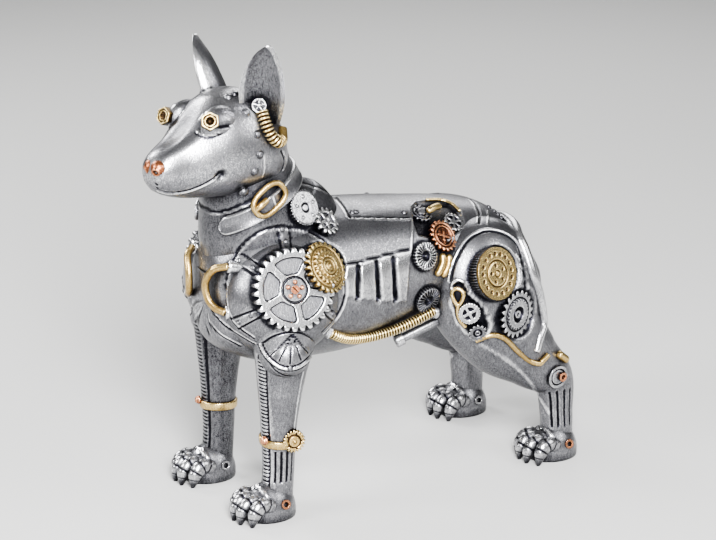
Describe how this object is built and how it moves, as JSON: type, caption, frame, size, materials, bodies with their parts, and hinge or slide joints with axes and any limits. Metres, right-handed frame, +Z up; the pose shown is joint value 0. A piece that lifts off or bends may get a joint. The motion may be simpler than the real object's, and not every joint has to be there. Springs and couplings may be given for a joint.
{
  "type": "steampunk dog figurine",
  "caption": "Standing bull terrier ornament in steampunk dress, cast in one piece, with gears, hoses, chest rings, a strap collar and armoured paws; aged silver, brass and copper paint.",
  "frame": {"origin": "on the floor under the middle of the figurine's box, midway between its sides and between nose and hind paws", "axes": "the dog faces -Y, its left side is +X, and +Z is up from the soles"},
  "size_m": [0.1232, 0.2798, 0.2853],
  "materials": {
    "aged_silver": "brushed silver paint, dark wash in the recesses, bright worn edges",
    "aged_brass": "pale brass paint with a dark wash",
    "aged_copper": "copper paint with a dark wash"
  },
  "bodies": {
    "root": {"dog": "aged_silver"}
  },
  "joints": []
}
